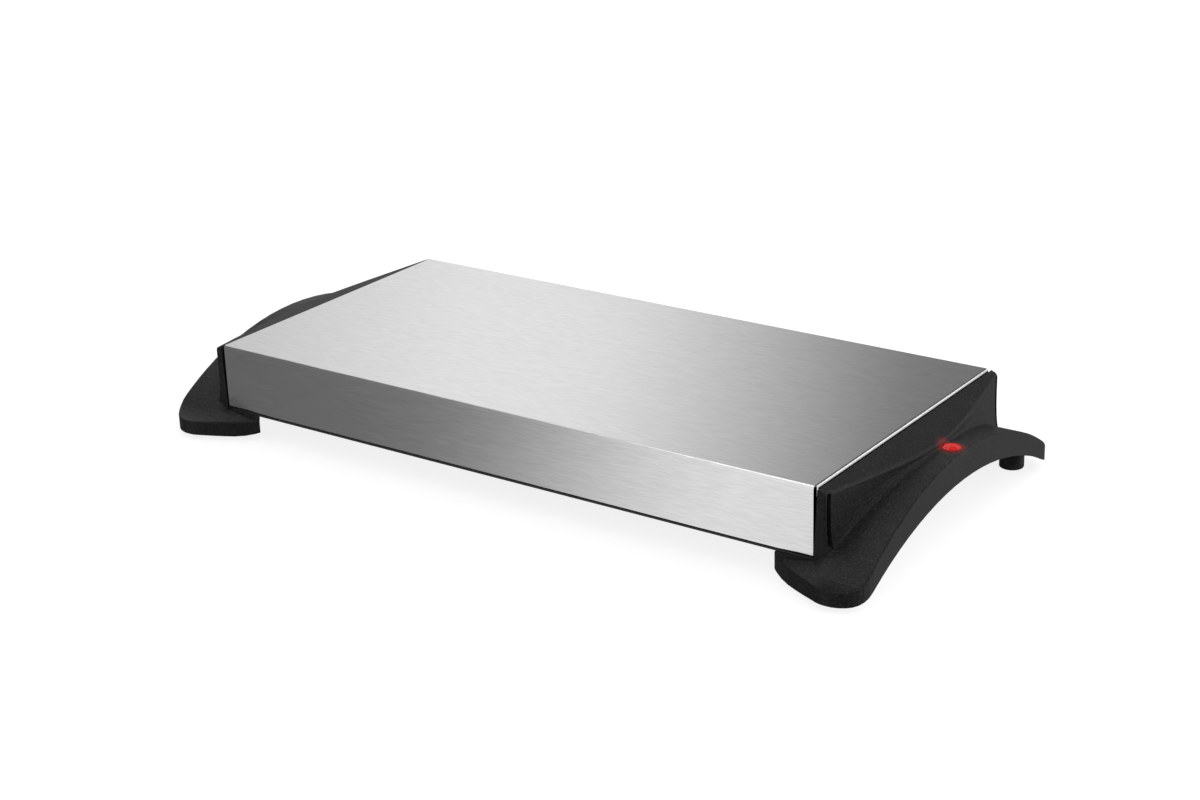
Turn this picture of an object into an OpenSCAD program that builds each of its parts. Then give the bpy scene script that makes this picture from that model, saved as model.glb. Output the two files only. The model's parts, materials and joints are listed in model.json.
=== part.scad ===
// Electric food warmer tray: a folded steel hot surface between two moulded end pieces.
// X runs along the tray, the front faces -Y, Z is up, and the table is at Z = 0.

/* [Overall] */
// Length over both end pieces
overall_l = 482; // [470:1:510]
// Depth over the feet
overall_d = 237; // [232:1:250]
// Height of the hot surface above the table
overall_h = 58; // [56:0.5:64]

/* [Steel cover] */
// Height of the flanges' lower edges above the table
under_gap = 17.6; // [16:0.1:20]
// Thickness of the stainless sheet
sheet_t = 1; // [0.6:0.1:1.2]
// Outer radius of the folds
fold_r = 1.8; // [1.4:0.1:3]
// Width of the hems turned in under the flanges
hem_w = 11; // [9:0.5:16]
// Reach of the turned-down lip past the flat surface at each end
lip_reach = 1.8; // [1.4:0.1:3]
// Height of the end lips
lip_h = 6; // [4:0.5:8]

/* [End pieces] */
// Reach of an end piece past the flat hot surface
end_reach = 35.8; // [35:0.1:42]
// Reach of the feet past the cover, in front and behind
foot_reach = 19.2; // [19.2:0.1:24]
// Gap between the cover's lip and an end piece
lip_gap = 0.5; // [0.2:0.1:0.6]
// Wall thickness of the mouldings
wall_t = 2.2; // [1.8:0.1:2.6]
// Width of the ledge at its middle
ledge_w = 20.2; // [17:0.1:21.2]
// Width of the ledge at its two ends
ledge_end_w = 4.6; // [4:0.1:8]
// Plan radius of the ledge's outer edge at its middle
ledge_mid_r = 140; // [80:5:220]
// Chamfer of the ledge's two ends
ledge_end_r = 0.8; // [0.4:0.1:0.9]
// Depth of the ledge's inner edge below the hot surface
ledge_set = 1; // [0.5:0.1:1.5]
// Fall of the ledge from its inner to its outer edge, at its middle
ledge_fall = 4; // [2:0.1:4.5]
// Radius of the ledge's outer edge
ledge_edge_r = 2.2; // [1.5:0.1:2.6]
// Outward sweep of the flank at the crown of the arch
sweep_crown = 2.6; // [2:0.1:4]
// Outward sweep of the flank at its two ends
sweep_end = 2.4; // [1.5:0.1:6]
// Depth of the arch's crown below the hot surface
crown_set = 8.2; // [8:0.1:10]
// Height of the edge band at the crown
band_h = 16.6; // [14:0.1:18]
// Height of the edge band round a foot
foot_band_h = 8.8; // [8:0.1:10]
// Distance behind the front of a foot where the top of the arch runs out
top_run_set = 0.5; // [0.2:0.1:6]
// Radius of the hollow there
toe_top_r = 20; // [12:1:30]
// Distance behind the front of a foot where the lower edge runs out
under_run_set = 2.6; // [1:0.1:8]
// Radius of the lower edge there
under_toe_r = 25; // [15:1:35]
// Radius of a foot's outer corner, in plan
foot_corner_r = 17.9; // [14:0.1:18.4]
// Reach of a toe under the tray, from the end wall
toe_reach = 25.8; // [23:0.1:34]
// Distance of a toe's tip behind the face of the flange
tip_in = 0.8; // [0.8:0.1:6]
// Rise of a toe's lower edge at its tip
tip_rise = 2.4; // [0:0.1:4]
// Length over which it rises
tip_run = 10; // [3:0.5:12]
// Rise of a foot's top from its front edge to the cover
toe_rise = 1.4; // [0.5:0.1:3]
// Bow of the foot's front edge
front_bow = 1.4; // [0:0.1:2]
// Radius of the rim's edges
rim_r = 1.1; // [0.8:0.1:1.6]
// Width of the bead at each end of the wall
bead_w = 1.4; // [0.8:0.1:1.8]
// Width of the groove behind that bead
groove_w = 3; // [2:0.1:3.5]

/* [Rubber feet] */
// Diameter of a rubber foot
foot_d = 14.4; // [12:0.1:15.4]
// Height of a rubber foot under the moulding
foot_h = 3.4; // [3:0.1:5]
// Distance of a foot's axis inside the outer face
foot_set_x = 18.5; // [17:0.1:21]
// Distance of a foot's axis behind the front of the moulding
foot_set_y = 18.3; // [17:0.1:22]

/* [Pilot lamp] */
// Diameter of the lens over its rim
lens_d = 10.2; // [9:0.1:11]
// Height of the lens above the arch
lens_rise = 1.7; // [1.4:0.1:2.5]
// Distance of the lamp's axis inside the outer face
lamp_set = 8.2; // [7.2:0.1:8.4]
// Diameter of the lens barrel through the arch
barrel_d = 6.5; // [6:0.1:6.8]
// Length of the lamp body under the arch
lamp_body_l = 7; // [5:0.5:7.5]

/* [Bottom pan] */
// Thickness of the pan sheet
pan_t = 1.2; // [0.8:0.1:1.2]
// Setback of the pan's edge behind the flanges
pan_set = 0.6; // [0.4:0.1:2]
// Distance of the pan's end flanges below the sheet of the hot surface
pan_flange_set = 12.4; // [10:0.1:15]
// Rise of the pan's embossed panel
panel_rise = 2; // [1:0.1:3]
// Length of a vent slot
vent_l = 26; // [16:1:34]
// Width of a vent slot
vent_w = 3; // [2:0.1:4]
// Number of vent slots in a row
vent_n = 11; // [5:1:14]

/* [Heater] */
// Distance of the heat spreader inside the edges of the hot surface
spreader_set = 13.2; // [12:0.1:22]
// Thickness of the heat spreader
spreader_t = 2; // [1.5:0.1:3]
// Thickness of a mica sheet
mica_t = 0.5; // [0.4:0.1:0.8]
// Thickness of the heating ribbon
ribbon_t = 0.4; // [0.3:0.05:0.6]
// Number of gaps between the runs of the ribbon
ribbon_gaps = 21; // [11:2:25]
// Width of a gap between two runs
ribbon_gap_w = 5; // [3:0.5:6]
// Thickness of the insulation blanket
blanket_t = 5; // [4:0.5:7]
// Thickness of the clamp plate
clamp_t = 1; // [0.8:0.1:1.5]
// Diameter of the studs
stud_d = 4; // [3:0.5:4]
// Length of a stud under the spreader
stud_l = 13; // [13:0.5:15]

/* [Controls] */
// Diameter of the thermostat's can
stat_d = 17; // [15:0.5:18]
// Height of the thermostat's can
stat_h = 9; // [8:0.5:12]
// Width of the power inlet's flange
inlet_w = 38; // [36:0.5:40]
// Height of the power inlet's flange
inlet_h = 24; // [23.5:0.5:25]
// Depth of the power inlet behind the cover
inlet_l = 19; // [18:0.5:24]
// Distance of the inlet's axis from the middle of the tray
inlet_x = 140; // [120:1:144]
// Diameter of an insulated lead
lead_d = 2.2; // [1.8:0.1:2.6]

/* [Hidden] */
$fn = 48;
// Overrun of a cut past the face that it leaves
cut = 1;
// Clearance between two parts that are fitted side by side
fit_gap = 0.2;
// Clearance of a screw in its hole, on the diameter
screw_gap = 0.2;
// Draft of the wall's two ends
end_draft = 0.3;

// Steel cover
cover_l = overall_l - 2 * end_reach;
cover_d = overall_d - 2 * foot_reach;
cover_h = overall_h - under_gap;
flange_z = under_gap;
cover_y = cover_d / 2;
cover_x = cover_l / 2;
lip_x = cover_x + lip_reach;
under_sheet_z = overall_h - sheet_t;

// End pieces, worked out for the right one; u is the distance to either side of the middle
out_x = overall_l / 2;
front_u = overall_d / 2;
wall_x = lip_x + lip_gap;
wall_u = cover_y + fit_gap;
shelf_z = flange_z - pan_t;
shelf_w = wall_t;
shelf_lip = 4;
crown_z = overall_h - crown_set;
under_z = crown_z - band_h;
rim_z = foot_h + foot_band_h;
ledge_in_z = overall_h - ledge_set;
ledge_inner_r = 0.6;
toe_u = cover_y - tip_in;
tip_x = wall_x - toe_reach;
toe_root_u = toe_u - toe_reach;
corner_x = out_x - foot_corner_r;
corner_u = front_u - foot_corner_r;
tip_dx = corner_x - tip_x;
tip_du = corner_u - toe_u;
front_a = atan2(tip_du, tip_dx) + asin(foot_corner_r / norm([tip_dx, tip_du]));
front_end_u = corner_u + foot_corner_r * cos(front_a);
// Share of the flank's height that the sweep takes
sweep_share = 0.7;
// The foot's top runs level under the tray and rises to the arch over this width, on both sides of the wall
rise_in = 9;
rise_out = 6;

// Arch outlines: a large arc over the middle, and a reverse arc that runs out level at end_u
function arc_drop(r, u) = r - sqrt(r * r - u * u);
function arch_r(top, toe_r, toe_z, end_u) =
    (end_u * end_u + pow(top - toe_z, 2)) / (2 * (top - toe_z)) - toe_r;
function arch_z(u, top, r, toe_r, toe_z, end_u) = let (turn_u = end_u * r / (r + toe_r))
    u < turn_u ? top - arc_drop(r, u) : u < end_u ? toe_z + arc_drop(toe_r, end_u - u) : toe_z;
top_end_u = front_u - top_run_set;
under_end_u = front_u - under_run_set;
arch_top_r = arch_r(crown_z, toe_top_r, rim_z, top_end_u);
under_r = arch_r(under_z, under_toe_r, foot_h, under_end_u);
function arch_top(u) = arch_z(u, crown_z, arch_top_r, toe_top_r, rim_z, top_end_u);
function arch_under(u) = arch_z(u, under_z, under_r, under_toe_r, foot_h, under_end_u);

// Plan outline of the moulding, drawn in by d
bow = ledge_w - ledge_end_w;
bow_slope = bow / sqrt(wall_u * wall_u - 2 * bow * ledge_mid_r);
bow_set = ledge_mid_r * bow_slope * bow_slope;
function ledge_x(u) = wall_x + ledge_w + bow_set - norm([bow_set, bow_slope * u])
    - max(0, u - wall_u + ledge_end_r);
function outer_x(u, d) = u < corner_u ? out_x - d
    : corner_x + sqrt(max(0, pow(foot_corner_r - d, 2) - pow(u - corner_u, 2)));
function toe_side_x(u, d) = tip_x + toe_u - u + d / sin(45);
function front_bow_x(u) = let (s = (u - toe_u) / (front_end_u - toe_u))
    4 * front_bow * s * (1 - s) / sin(front_a);
function front_x(u, d) = u > corner_u + (foot_corner_r - d) * cos(front_a)
    ? corner_x - sqrt(max(0, pow(foot_corner_r - d, 2) - pow(u - corner_u, 2)))
    : tip_x + (u - toe_u) / tan(front_a) + d / sin(front_a) - (u > toe_u ? front_bow_x(u) : 0);
function inner_x(u, d) = let (toe = max(toe_side_x(u, d), front_x(u, d)))
    u < wall_u ? min(wall_x - shelf_w + d, toe) : toe;
function tip_bottom(u) = foot_h + tip_rise * pow(max(0, 1 - abs(u - toe_u) / tip_run), 2);
function inner_bottom(u) = u < toe_root_u ? shelf_z - shelf_lip
    : max(tip_bottom(u), shelf_z - shelf_lip - (u - toe_root_u));

// Heights of the flank and of the foot's top
// Shares of the flank's height and of the ledge's width that the ledge's edge radius may take
edge_share = 0.7;
edge_width_share = 0.5;
// Share of the ledge's width that each of the two skins under it may take
thin_share = 0.4;
function ledge_out_z(u) = ledge_in_z - ledge_fall * (ledge_x(u) - wall_x) / ledge_w;
function edge_r(u) = min(ledge_edge_r, edge_share * (ledge_out_z(u) - arch_top(u)),
    edge_width_share * (ledge_x(u) - wall_x));
function flank_top_z(u) = ledge_out_z(u) - edge_r(u);
function sweep_h(u) = sweep_share * (flank_top_z(u) - arch_top(u));
function sweep_w(u) = sweep_crown
    + (sweep_end - sweep_crown) * (crown_z - arch_top(u)) / (crown_z - arch_top(wall_u));
function smooth(s) = s <= 0 ? 0 : s >= 1 ? 1 : s * s * (3 - 2 * s);
function toe_top(u) = rim_z + toe_rise * (1 - smooth((u - wall_u) / (front_u - wall_u)));
function foot_top(x, u) = toe_top(u)
    + (arch_top(u) - toe_top(u)) * smooth((x - wall_x + rise_in) / (rise_in + rise_out));

// Section of the moulding where the wall stands, from the toe's lower edge round to the band's lower edge
function lerp(a, b, s) = a + (b - a) * s;
function tall_section(u, d) = let (
        xi = inner_x(u, d), xe = ledge_x(u), xo = outer_x(u, d), za = arch_top(u),
        de = min(d, thin_share * (xe - wall_x)), xw = wall_x + de,
        sw = sweep_w(u), sh = sweep_h(u), re = max(edge_r(u) - d, rim_r / 4), rr = max(rim_r - d, rim_r / 4),
        ri = max(ledge_inner_r - d, ledge_inner_r / 4),
        xc = xe - max(edge_r(u), re + de), zc = flank_top_z(u))
    concat(
        [[xi, inner_bottom(u)]],
        [for (a = [0, 45, 90]) [xi + rr * (1 - cos(a)), shelf_z - d - rr * (1 - sin(a))]],
        [[xw, shelf_z - d], [xw, ledge_in_z - d - ri], [xw + ri, ledge_in_z - d]],
        [for (s = [0.5]) [lerp(xw + ri, xc, s), lerp(ledge_in_z, ledge_out_z(u), s) - d]],
        [for (a = [90, 60, 30, 0]) [xc + re * cos(a), zc + re * sin(a)]],
        [for (a = [0:18:90]) [xe + sw - (sw + de) * cos(a), za + sh - (sh + d) * sin(a)]],
        [for (s = [1 / 3, 2 / 3, 1]) [lerp(xe + sw, xo - rr, s), za - d]],
        [[xo - rr * (1 - cos(45)), za - d - rr * (1 - sin(45))], [xo, za - d - rr], [xo, arch_under(u)]]);
// How far the points on the foot's top are spread evenly instead of standing under the wall's own points
even_share = 0.1;
// The same points in front of the wall, where they lie on the foot's top
function low_section(u, d) = let (
        tall = tall_section(wall_u - d, d), n = len(tall), first = tall[3][0], last = tall[n - 4][0],
        rr = max(rim_r - d, rim_r / 4), xi = inner_x(u, d), xo = outer_x(u, d))
    concat(
        [[xi, inner_bottom(u)]],
        [for (a = [0, 45, 90]) [xi + rr * (1 - cos(a)), foot_top(xi, u) - d - rr * (1 - sin(a))]],
        [for (i = [4:n - 4])
            let (s = lerp((tall[i][0] - first) / (last - first), (i - 3) / (n - 7), even_share),
                x = lerp(xi + rr, xo - rr, s))
            [x, foot_top(x, u) - d]],
        [[xo - rr * (1 - cos(45)), foot_top(xo, u) - d - rr * (1 - sin(45))],
            [xo, foot_top(xo, u) - d - rr], [xo, arch_under(u)]]);

// Stations of the loft over one half: shares of the wall's length, then on round the corner of the foot
root_share = toe_root_u / wall_u;
low_share = (toe_root_u + shelf_z - shelf_lip - foot_h) / wall_u;
tip_share = toe_u / wall_u;
wall_shares = concat([for (i = [0:6]) i / 7 * root_share],
    [root_share, low_share, lerp(low_share, tip_share, 1 / 3), lerp(low_share, tip_share, 2 / 3), tip_share,
        1 - ledge_end_r / wall_u, 1]);
corner_angles = [0, 11, 22, 33, 44, 54, 63, 71, 78, 84];
function wall_stations(d) = [for (s = wall_shares) s * (wall_u - d)];
function foot_stations(d) = concat([wall_u + end_draft - d, (wall_u + end_draft + corner_u) / 2 - d / 2],
    [for (a = corner_angles) corner_u + (foot_corner_r - d) * sin(a)]);
function half_loft(d) = concat(
    [for (u = wall_stations(d)) [for (p = tall_section(u, d)) [p[0], u, p[1]]]],
    [for (u = foot_stations(d)) [for (p = low_section(u, d)) [p[0], u, p[1]]]]);
function mirror_rows(rows) = [for (i = [len(rows) - 1:-1:1]) [for (p = rows[i]) [p[0], -p[1], p[2]]]];
function full_loft(d) = concat(mirror_rows(half_loft(d)), half_loft(d));

// A thick skin between two lofts of equally many rows, closed along its lower edge
module skin(outer, inner) {
    rows = len(outer);
    cols = len(outer[0]);
    size = rows * cols;
    quads = [for (i = [0:rows - 2], j = [0:cols - 2]) [i * cols + j, i * cols + j + 1,
        (i + 1) * cols + j + 1, (i + 1) * cols + j]];
    last = (rows - 1) * cols;
    polyhedron(
        points = concat([for (r = outer) each r], [for (r = inner) each r]),
        faces = concat(
            [for (q = quads) each [[q[2], q[1], q[0]], [q[3], q[2], q[0]]]],
            [for (q = quads) each [
                [size + q[0], size + q[1], size + q[2]], [size + q[0], size + q[2], size + q[3]]]],
            [[for (j = [0:cols - 1]) j], [for (j = [cols - 1:-1:0]) last + j]],
            [[for (j = [cols - 1:-1:0]) size + j], [for (j = [0:cols - 1]) size + last + j]],
            [for (i = [0:rows - 2]) each [
                [size + i * cols, (i + 1) * cols, i * cols],
                [size + i * cols, size + (i + 1) * cols, (i + 1) * cols],
                [size + (i + 1) * cols - 1, (i + 1) * cols - 1, (i + 2) * cols - 1],
                [size + (i + 1) * cols - 1, (i + 2) * cols - 1, size + (i + 2) * cols - 1]]],
            [[cols - 1, size, 0], [cols - 1, size + cols - 1, size],
                [size + last, last + cols - 1, last],
                [size + last, size + last + cols - 1, last + cols - 1]]));
}

// Screws
screw_d = 3.5;
screw_head_d = 6.8;
screw_head_h = 2.2;
small_screw_d = 3;
small_head_d = 5.6;
small_head_h = 2;

// Rubber feet and the bosses that take them
foot_x = out_x - foot_set_x;
foot_u = front_u - foot_set_y;
foot_boss_d = foot_d;
foot_boss_z = arch_top(foot_u + foot_boss_d / 2) - wall_t / 2;
plug_d = 8;
plug_h = 4;
foot_round = 0.8;
foot_pocket_h = 3.5;
foot_screw_z = foot_boss_z - wall_t / 2;

// Screws up through the toes, and along X through the end walls
toe_screw_x = (tip_x + wall_x) / 2;
toe_screw_l = 8;
toe_boss_d = 9;
toe_screw_u = wall_u - toe_boss_d / 2 - fit_gap;
wall_screw_share = 0.725;
wall_screw_u = wall_screw_share * wall_u;
pan_flange_h = cover_h - sheet_t - pan_flange_set;
wall_screw_z = flange_z + pan_flange_h / 2;
wall_boss_d = 8;
wall_boss_l = 9;
wall_screw_l = 10;

// Liner that closes an arch from below, and what it is screwed to
liner_t = 2;
liner_set = 1;
liner_share = 0.785;
liner_u = liner_share * wall_u;
liner_gap = 0.4;
liner_x = wall_x + wall_t + liner_gap;
liner_w = out_x - wall_t - liner_gap - liner_x;
liner_boss_d = 7;
liner_boss_share = 0.4;
liner_boss_u = liner_boss_share * wall_u;
liner_boss_x = (wall_x + out_x) / 2;
liner_boss_z = under_z - arc_drop(under_r, liner_boss_u + liner_boss_d);
liner_screw_l = 8;
// Level seat of a liner screw, clear of the liner's lower face under the whole head
liner_seat_z = under_z + liner_set + screw_gap
    - arc_drop(under_r + liner_set, liner_boss_u - screw_head_d / 2);
rib_t = 2;
rib_shares = [0.6, 0.85];

// Pilot lamp
lamp_x = out_x - lamp_set;
lamp_body_d = 6;
lens_rim_h = 0.8;
lens_dome_r = 10;
barrel_l = wall_t + lens_rim_h + 2;
lamp_body_z = crown_z + lens_rim_h - barrel_l - lamp_body_l;
clip_t = 0.8;
clip_w = 8.4;
clip_l = 13;

// Bottom pan
pan_x = lip_x;
pan_y = cover_y - pan_set;
panel_l = cover_l - 4 * hem_w;
panel_d = cover_d - 4 * hem_w;
panel_top = shelf_z + panel_rise + pan_t;
panel_lap = 1.5;
vent_row_y = panel_d / 4;
vent_pitch = panel_l / (vent_n + 1);
pan_flange_y = cover_y - sheet_t - hem_w;
pan_screw_shares = [-0.36, -0.12, 0.12, 0.36];
pan_screw_y = cover_y - hem_w / 2;
pan_screw_tail = 4;

// Heater stack, from the cover's underside down
spreader_l = cover_l - 2 * spreader_set;
spreader_d = cover_d - 2 * spreader_set;
spreader_z = under_sheet_z - spreader_t;
mica_up_z = spreader_z - mica_t;
ribbon_z = mica_up_z - ribbon_t;
mica_low_z = ribbon_z - mica_t;
blanket_z = mica_low_z - blanket_t;
clamp_z = blanket_z - clamp_t;
stack_set = 4;
stack_l = spreader_l - 2 * stack_set;
stack_d = spreader_d - 2 * stack_set;
ribbon_set = 10;
ribbon_l = stack_l - 2 * ribbon_set;
ribbon_d = stack_d - 2 * ribbon_set;
ribbon_edge = 5;
stud_shares = [-0.43, 0, 0.43];
stud_set = 6;
stud_y = stack_d / 2 - stud_set;
nut_d = 7.6;
nut_h = 3;
window_l = 40;
window_w = 26;
stat_share = 0.273;
stat_x = stat_share * spreader_l;
fuse_x = -stat_x;

// The ribbon's two ends come down through a window of their own
tail_w = 6;
tail_window_l = 20;
tail_x = ribbon_l / 2 - tail_window_l / 2 + tail_w / 4;
tail_y = 4;
tail_l = 10;
ribbon_pitch = ribbon_l / (ribbon_gaps + 1);
ribbon_inner_y = window_w / 2 + ribbon_edge / 2;

// Thermostat, thermal fuse and its clip
ear_l = 34;
ear_w = 9;
ear_t = 1;
ear_screw_x = 13;
tab_t = 0.8;
tab_w = 4;
tab_h = 7;
tab_x = 4;
tab_z = spreader_z - stat_h - tab_h;
fuse_d = 4;
fuse_l = 11;
fuse_z = spreader_z - fuse_d / 2;
fuse_clip_w = 9;
fuse_clip_l = 24;
clip_sheet = 0.8;

// Power inlet, in the cover's back flange
inlet_ear = 7;
inlet_rim = 3.5;
inlet_hole_w = inlet_w - 2 * inlet_ear;
inlet_hole_h = inlet_h - 2 * inlet_rim;
inlet_body_w = inlet_hole_w - fit_gap;
inlet_body_h = inlet_hole_h - fit_gap;
inlet_z = min(flange_z + cover_h / 2 + ledge_set, clamp_z - inlet_body_h / 2 - fit_gap);
inlet_screw_x = (inlet_w - inlet_ear) / 2;
inlet_wall = 1.8;
inlet_flange_t = 2.4;
inlet_round = 2.5;
inlet_floor = 2 * inlet_wall;
pin_w = 2;
pin_h = 4;
pin_l = 12;
pin_x = 6.5;
pin_low = -2;
pin_top = 2.6;
pin_tail_y = cover_y - inlet_l - tab_h;

// Terminal block on the pan's panel, and the earth screw beside it
block_x = -120;
block_y = 14;
block_l = 30;
block_w = 16;
block_h = 12;
block_ways = 3;
block_hole_d = 5;
block_lead_z = panel_top + block_h / 3;
earth_x = -98;
earth_set = 15.3;
earth_y = panel_d / 2 - earth_set;
earth_top_z = panel_top + toe_screw_l;
earth_head_h = 1.6;

// Leads
lead_sides = 8;
lead_stub = 4;
lead_hang_z = clamp_z - nut_h - lead_d - 3 * fit_gap;
lamp_hole_z = flange_z + pan_flange_h - lead_d - pan_t;
function block_way_x(i) = block_x + (i - (block_ways - 1) / 2) * block_l / block_ways;
function stud_x(i) = stud_shares[i] * spreader_l;

// Places that repeat
module corners(x, y) {
    for (sx = [-1, 1], sy = [-1, 1]) translate([sx * x, sy * y, 0]) children();
}

module pan_screw_places() {
    for (s = pan_screw_shares, side = [-1, 1]) translate([s * cover_l, side * pan_screw_y, 0]) children();
}

// Origin at the inner face of a pan flange, with Z out along the screw
module wall_screw_places() {
    for (sx = [-1, 1], sy = [-1, 1]) translate([sx * (pan_x - pan_t), sy * wall_screw_u, wall_screw_z])
        rotate([0, sx * 90, 0]) children();
}

module stud_places() {
    for (i = [0:len(stud_shares) - 1], side = [-1, 1]) translate([stud_x(i), side * stud_y, 0]) children();
}

module ear_places() {
    for (side = [-1, 1]) translate([stat_x + side * ear_screw_x, 0, 0]) children();
}

// Origin on the outer face of the back flange, with Z out of it
module inlet_screw_places() {
    for (side = [-1, 1]) translate([-inlet_x + side * inlet_screw_x, cover_y, inlet_z])
        rotate([-90, 0, 0]) children();
}

// In the inlet's own axes, where Y is up and Z runs inwards
module pin_places() {
    for (side = [-1, 1]) translate([side * pin_x, pin_low, 0]) children();
    translate([0, pin_top, 0]) children();
}

module on_lamp_axis() {
    translate([lamp_x, 0, crown_z]) children();
}

module along_x(l) {
    translate([-l / 2, 0, 0]) rotate([90, 0, 90]) linear_extrude(l) children();
}

module along_y(l) {
    translate([0, l / 2, 0]) rotate([90, 0, 0]) linear_extrude(l) children();
}

// A screw whose head bears from below on the plane Z = 0, and whose shank goes up
module screw(d, l, head_d, head_h) {
    rotate_extrude() {
        translate([0, -head_h]) intersection() {
            square([head_d / 2, head_h]);
            translate([0, head_d]) circle(head_d);
        }
        square([d / 2, l]);
    }
}

// A hole for a screw or a lead, opened from Z = 0 up by h and run past both ends
module hole(d, h) {
    translate([0, 0, -cut]) cylinder(d = d, h = h + 2 * cut);
}

module rounded_plate(w, h, r) {
    for (sx = [-1, 1], sy = [-1, 1]) translate([sx * (w / 2 - r), sy * (h / 2 - r)]) circle(r);
    square([w - 2 * r, h], center = true);
    square([w, h - 2 * r], center = true);
}

// A moulding: the lofted skin, its bosses and ribs, and the holes in them
module moulding() {
    difference() {
        union() {
            skin(full_loft(0), full_loft(wall_t));
            for (side = [-1, 1]) end_bosses(side);
        }
        for (side = [-1, 1]) end_cuts(side);
    }
}

module end_bosses(side) {
    translate([foot_x, side * foot_u, foot_h]) cylinder(d = foot_boss_d, h = foot_boss_z - foot_h);
    translate([toe_screw_x, side * toe_screw_u, shelf_z - shelf_lip])
        cylinder(d = toe_boss_d, h = shelf_lip - wall_t / 2);
    translate([wall_x + wall_t / 2, side * wall_screw_u, wall_screw_z]) rotate([0, 90, 0])
        cylinder(d = wall_boss_d, h = wall_boss_l - wall_t / 2);
    difference() {
        union() {
            translate([liner_boss_x, side * liner_boss_u, liner_boss_z])
                cylinder(d = liner_boss_d, h = arch_top(liner_boss_u) - wall_t / 2 - liner_boss_z);
            for (s = rib_shares) rib(side * s * wall_u, s * wall_u);
        }
        translate([0, 0, under_z - under_r]) rotate([0, 90, 0])
            cylinder(r = under_r + liner_set + liner_t + fit_gap, h = out_x);
    }
}

// A web across the hollow, following the section there
module rib(y, u) {
    pts = [for (p = tall_section(u, wall_t / 2)) if (p[1] > shelf_z) p];
    translate([0, y, 0]) along_y(rib_t)
        polygon(concat([[pts[0][0], shelf_z]], pts, [[pts[len(pts) - 1][0], shelf_z]]));
}

module end_cuts(side) {
    // Groove across the flank, behind the bead
    groove_u = wall_u - bead_w - groove_w;
    groove_y = side > 0 ? groove_u : -groove_u - groove_w;
    translate([wall_x + wall_t + fit_gap, groove_y, arch_top(groove_u) + fit_gap])
        cube([ledge_w, groove_w, flank_top_z(wall_u) - arch_top(groove_u)]);
    translate([foot_x, side * foot_u, foot_h]) {
        translate([0, 0, -cut]) cylinder(d = plug_d + fit_gap, h = plug_h + cut);
        cylinder(d = screw_d + screw_gap, h = foot_screw_z + fit_gap - foot_h);
    }
    translate([toe_screw_x, side * toe_screw_u, foot_h]) hole(screw_d + screw_gap, shelf_z - foot_h);
    translate([wall_x, side * wall_screw_u, wall_screw_z]) rotate([0, 90, 0])
        hole(screw_d + screw_gap, wall_boss_l - cut);
    translate([liner_boss_x, side * liner_boss_u, liner_boss_z])
        cylinder(d = screw_d + screw_gap, h = liner_seat_z + liner_screw_l + fit_gap - liner_boss_z);
}

module right_end_piece() {
    color("#2b2b2d") difference() {
        moulding();
        on_lamp_axis() {
            translate([0, 0, -wall_t]) hole(barrel_d + fit_gap, wall_t);
            cylinder(d = lens_d + 2 * fit_gap, h = crown_set);
        }
        translate([wall_x, 0, lamp_hole_z]) rotate([0, 90, 0]) hole(2 * lead_d + fit_gap, wall_t);
    }
}

module left_end_piece() {
    color("#2b2b2d") mirror([1, 0, 0]) moulding();
}

// Liner: a curved strip with a level seat for each screw
module arch_liner() {
    roll_r = under_r + liner_set;
    color("#26272a") difference() {
        translate([0, 0, under_z - under_r]) intersection() {
            translate([liner_x, 0, 0]) rotate([0, 90, 0]) difference() {
                cylinder(r = roll_r + liner_t, h = liner_w);
                hole(2 * roll_r, liner_w);
            }
            translate([0, -liner_u, 0]) cube([out_x, 2 * liner_u, roll_r + liner_t + cut]);
        }
        for (side = [-1, 1]) translate([liner_boss_x, side * liner_boss_u, 0]) {
            cylinder(d = screw_d + screw_gap, h = overall_h);
            cylinder(d = screw_head_d + 2 * screw_gap, h = liner_seat_z);
        }
    }
}

module right_arch_liner() {
    arch_liner();
}

module left_arch_liner() {
    mirror([1, 0, 0]) arch_liner();
}

// Steel cover: one sheet folded down at the front and the back, with hems under and a lip at each end
module fold_outline(half_d, low, high, r) {
    for (side = [-1, 1], z = [low + r, high - r]) translate([side * (half_d - r), z]) circle(r);
    translate([-half_d + r, low]) square([2 * (half_d - r), high - low]);
    translate([-half_d, low + r]) square([2 * half_d, high - low - 2 * r]);
}

module steel_cover() {
    color("#b9bbbd") difference() {
        union() {
            along_x(cover_l) difference() {
                fold_outline(cover_y, flange_z, overall_h, fold_r);
                fold_outline(cover_y - sheet_t, flange_z + sheet_t, under_sheet_z, fold_r - sheet_t);
                translate([-cover_y + hem_w, flange_z - cut])
                    square([cover_d - 2 * hem_w, sheet_t + 2 * cut]);
            }
            for (side = [0, 1]) mirror([side, 0, 0]) end_lip();
        }
        translate([-inlet_x - inlet_hole_w / 2, cover_y - sheet_t - cut, inlet_z - inlet_hole_h / 2])
            cube([inlet_hole_w, sheet_t + 2 * cut, inlet_hole_h]);
        inlet_screw_places() translate([0, 0, -sheet_t]) hole(small_screw_d + screw_gap, sheet_t);
        pan_screw_places() translate([0, 0, flange_z]) hole(small_screw_d + screw_gap, sheet_t);
        corners(toe_screw_x, toe_screw_u) translate([0, 0, flange_z]) hole(screw_d + screw_gap, sheet_t);
    }
}

// The top sheet rolled down over each end
module end_lip() {
    roll_z = overall_h - lip_reach;
    along_y(cover_d - 2 * fold_r) {
        translate([cover_x, roll_z]) intersection() {
            difference() {
                circle(lip_reach);
                circle(lip_reach - sheet_t);
            }
            square(lip_reach + cut);
        }
        translate([cover_x - sheet_t, under_sheet_z]) square([sheet_t, sheet_t]);
        translate([lip_x - sheet_t, overall_h - lip_h]) square([sheet_t, lip_h - lip_reach]);
    }
}

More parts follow.
